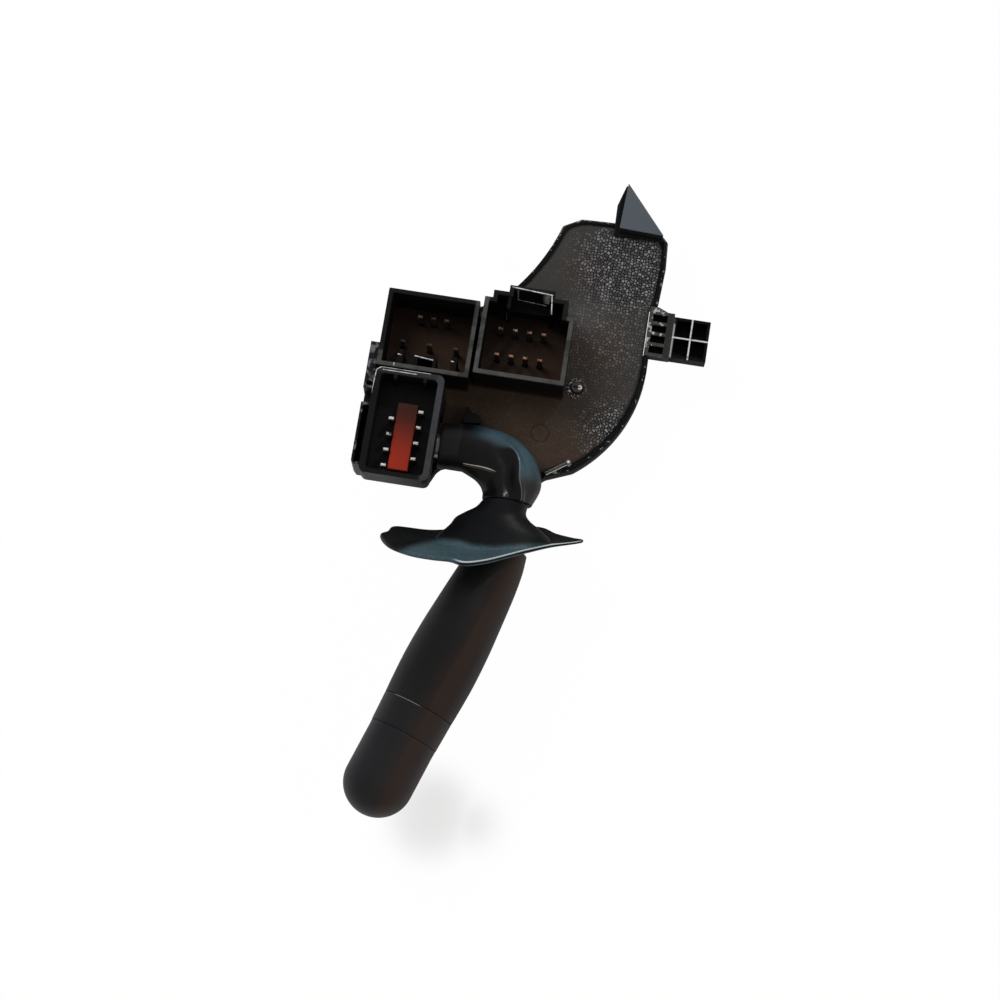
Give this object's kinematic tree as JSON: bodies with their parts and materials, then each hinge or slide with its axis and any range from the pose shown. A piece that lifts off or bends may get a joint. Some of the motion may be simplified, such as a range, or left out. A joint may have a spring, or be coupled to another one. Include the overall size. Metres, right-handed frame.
{
  "type": "combination stalk switch",
  "caption": "Steering-column stalk switch: curved housing plate with harness sockets, cranked neck, finger shield and round handle with a turning end knob and ring.",
  "frame": {"origin": "where the axis of the turn pivot meets the flat mounting face", "axes": "+Z out of the mounting face towards the harness sockets, +Y up the housing away from the handle, +X across the handle's side towards the side clip"},
  "size_m": [0.1007, 0.2055, 0.045],
  "materials": {
    "housing_brown": "leather-grained dark brown-grey plastic",
    "socket_black": "fine matt black plastic",
    "cover_black": "matt black plastic",
    "red_lock": "dull red plastic",
    "fin_blue": "satin slate-blue plastic",
    "neck_gloss": "polished black plastic",
    "shield_teal": "satin dark teal plastic",
    "grip_black": "fine-grained soft black plastic",
    "knob_black": "satin black plastic",
    "clip_grey": "matt grey plastic",
    "contact_copper": "tinned copper alloy",
    "steel": "plain steel",
    "board_green": "printed board laminate",
    "carrier_white": "natural acetal"
  },
  "bodies": {
    "housing": {"main_housing": "housing_brown", "bracket_posts": "steel", "front_cover": "cover_black", "cover_screws": "steel", "turret_case": "socket_black", "side_rails": "socket_black", "left_socket": "socket_black", "mid_socket": "socket_black", "lower_socket": "socket_black", "left_pins": "contact_copper", "mid_pins": "contact_copper", "lower_pins": "contact_copper", "red_retainer": "red_lock", "guide_fin": "fin_blue", "fin_foot": "cover_black", "terminal_board": "board_green", "upper_board": "board_green", "fixed_contacts": "contact_copper", "slider_guide": "carrier_white", "detent_cam": "carrier_white", "pivot_pin": "steel", "pawl_pin": "steel", "pawl_spring": "steel", "boss_screw": "steel", "limit_pin": "steel", "stop_post": "cover_black"},
    "turn_carrier": {"turn_carrier": "carrier_white", "detent_plunger": "steel", "detent_spring": "steel"},
    "dimmer_slider": {"dimmer_slider": "carrier_white"},
    "turn_slider": {"turn_slider": "carrier_white", "moving_contact": "contact_copper"},
    "cancel_pawl": {"cancel_pawl": "carrier_white"},
    "lever": {"lever_shaft": "steel", "retaining_clip": "steel", "dimmer_crank": "steel", "neck_upper": "neck_gloss", "neck_lower": "neck_gloss", "shield": "shield_teal", "handle_sleeve": "grip_black", "lever_barrel": "carrier_white", "barrel_bush": "carrier_white", "contact_plate": "board_green"},
    "fog_ring": {"fog_ring": "knob_black"},
    "light_knob": {"light_knob": "knob_black", "knob_rotor": "carrier_white", "knob_ball": "steel"},
    "side_clip": {"side_clip": "clip_grey", "clip_block": "cover_black"}
  },
  "joints": [
    {"name": "turn_pivot", "type": "hinge", "parent": "housing", "child": "turn_carrier", "pos_m": [0, 0, 0], "axis": [0, 0, 1], "range_deg": [-10, 10]},
    {"name": "dimmer_pivot", "type": "hinge", "parent": "turn_carrier", "child": "lever", "pos_m": [0, 0, 0.0235], "axis": [-1, 0, 0], "range_deg": [-6, 6], "stiffness_Nm_per_rad": 2},
    {"name": "dimmer_travel", "type": "slide", "parent": "turn_carrier", "child": "dimmer_slider", "axis": [0, 1, 0], "range_m": [-0.00065, 0.00065]},
    {"name": "turn_travel", "type": "slide", "parent": "housing", "child": "turn_slider", "axis": [1, 0, 0], "range_m": [-0.0025, 0.0025]},
    {"name": "pawl_pivot", "type": "hinge", "parent": "housing", "child": "cancel_pawl", "pos_m": [0.0386, 0.0566, 0], "axis": [0, 0, 1], "range_deg": [-12, 12], "stiffness_Nm_per_rad": 0.02},
    {"name": "ring_turn", "type": "hinge", "parent": "lever", "child": "fog_ring", "pos_m": [0.028, -0.0397, 0.0235], "axis": [-0.3206, -0.9472, 0], "range_deg": [0, 30]},
    {"name": "knob_turn", "type": "hinge", "parent": "lever", "child": "light_knob", "pos_m": [0.028, -0.0397, 0.0235], "axis": [-0.3206, -0.9472, 0], "range_deg": [0, 60]},
    {"name": "clip_flex", "type": "hinge", "parent": "housing", "child": "side_clip", "pos_m": [0.0646, 0.046, 0.013], "axis": [0, 1, 0], "range_deg": [0, 5], "stiffness_Nm_per_rad": 0.5}
  ],
  "couplings": [
    {"joint": "dimmer_travel", "follows": "dimmer_pivot", "m_per_rad": -0.006},
    {"joint": "turn_travel", "follows": "turn_pivot", "m_per_rad": -0.014}
  ]
}
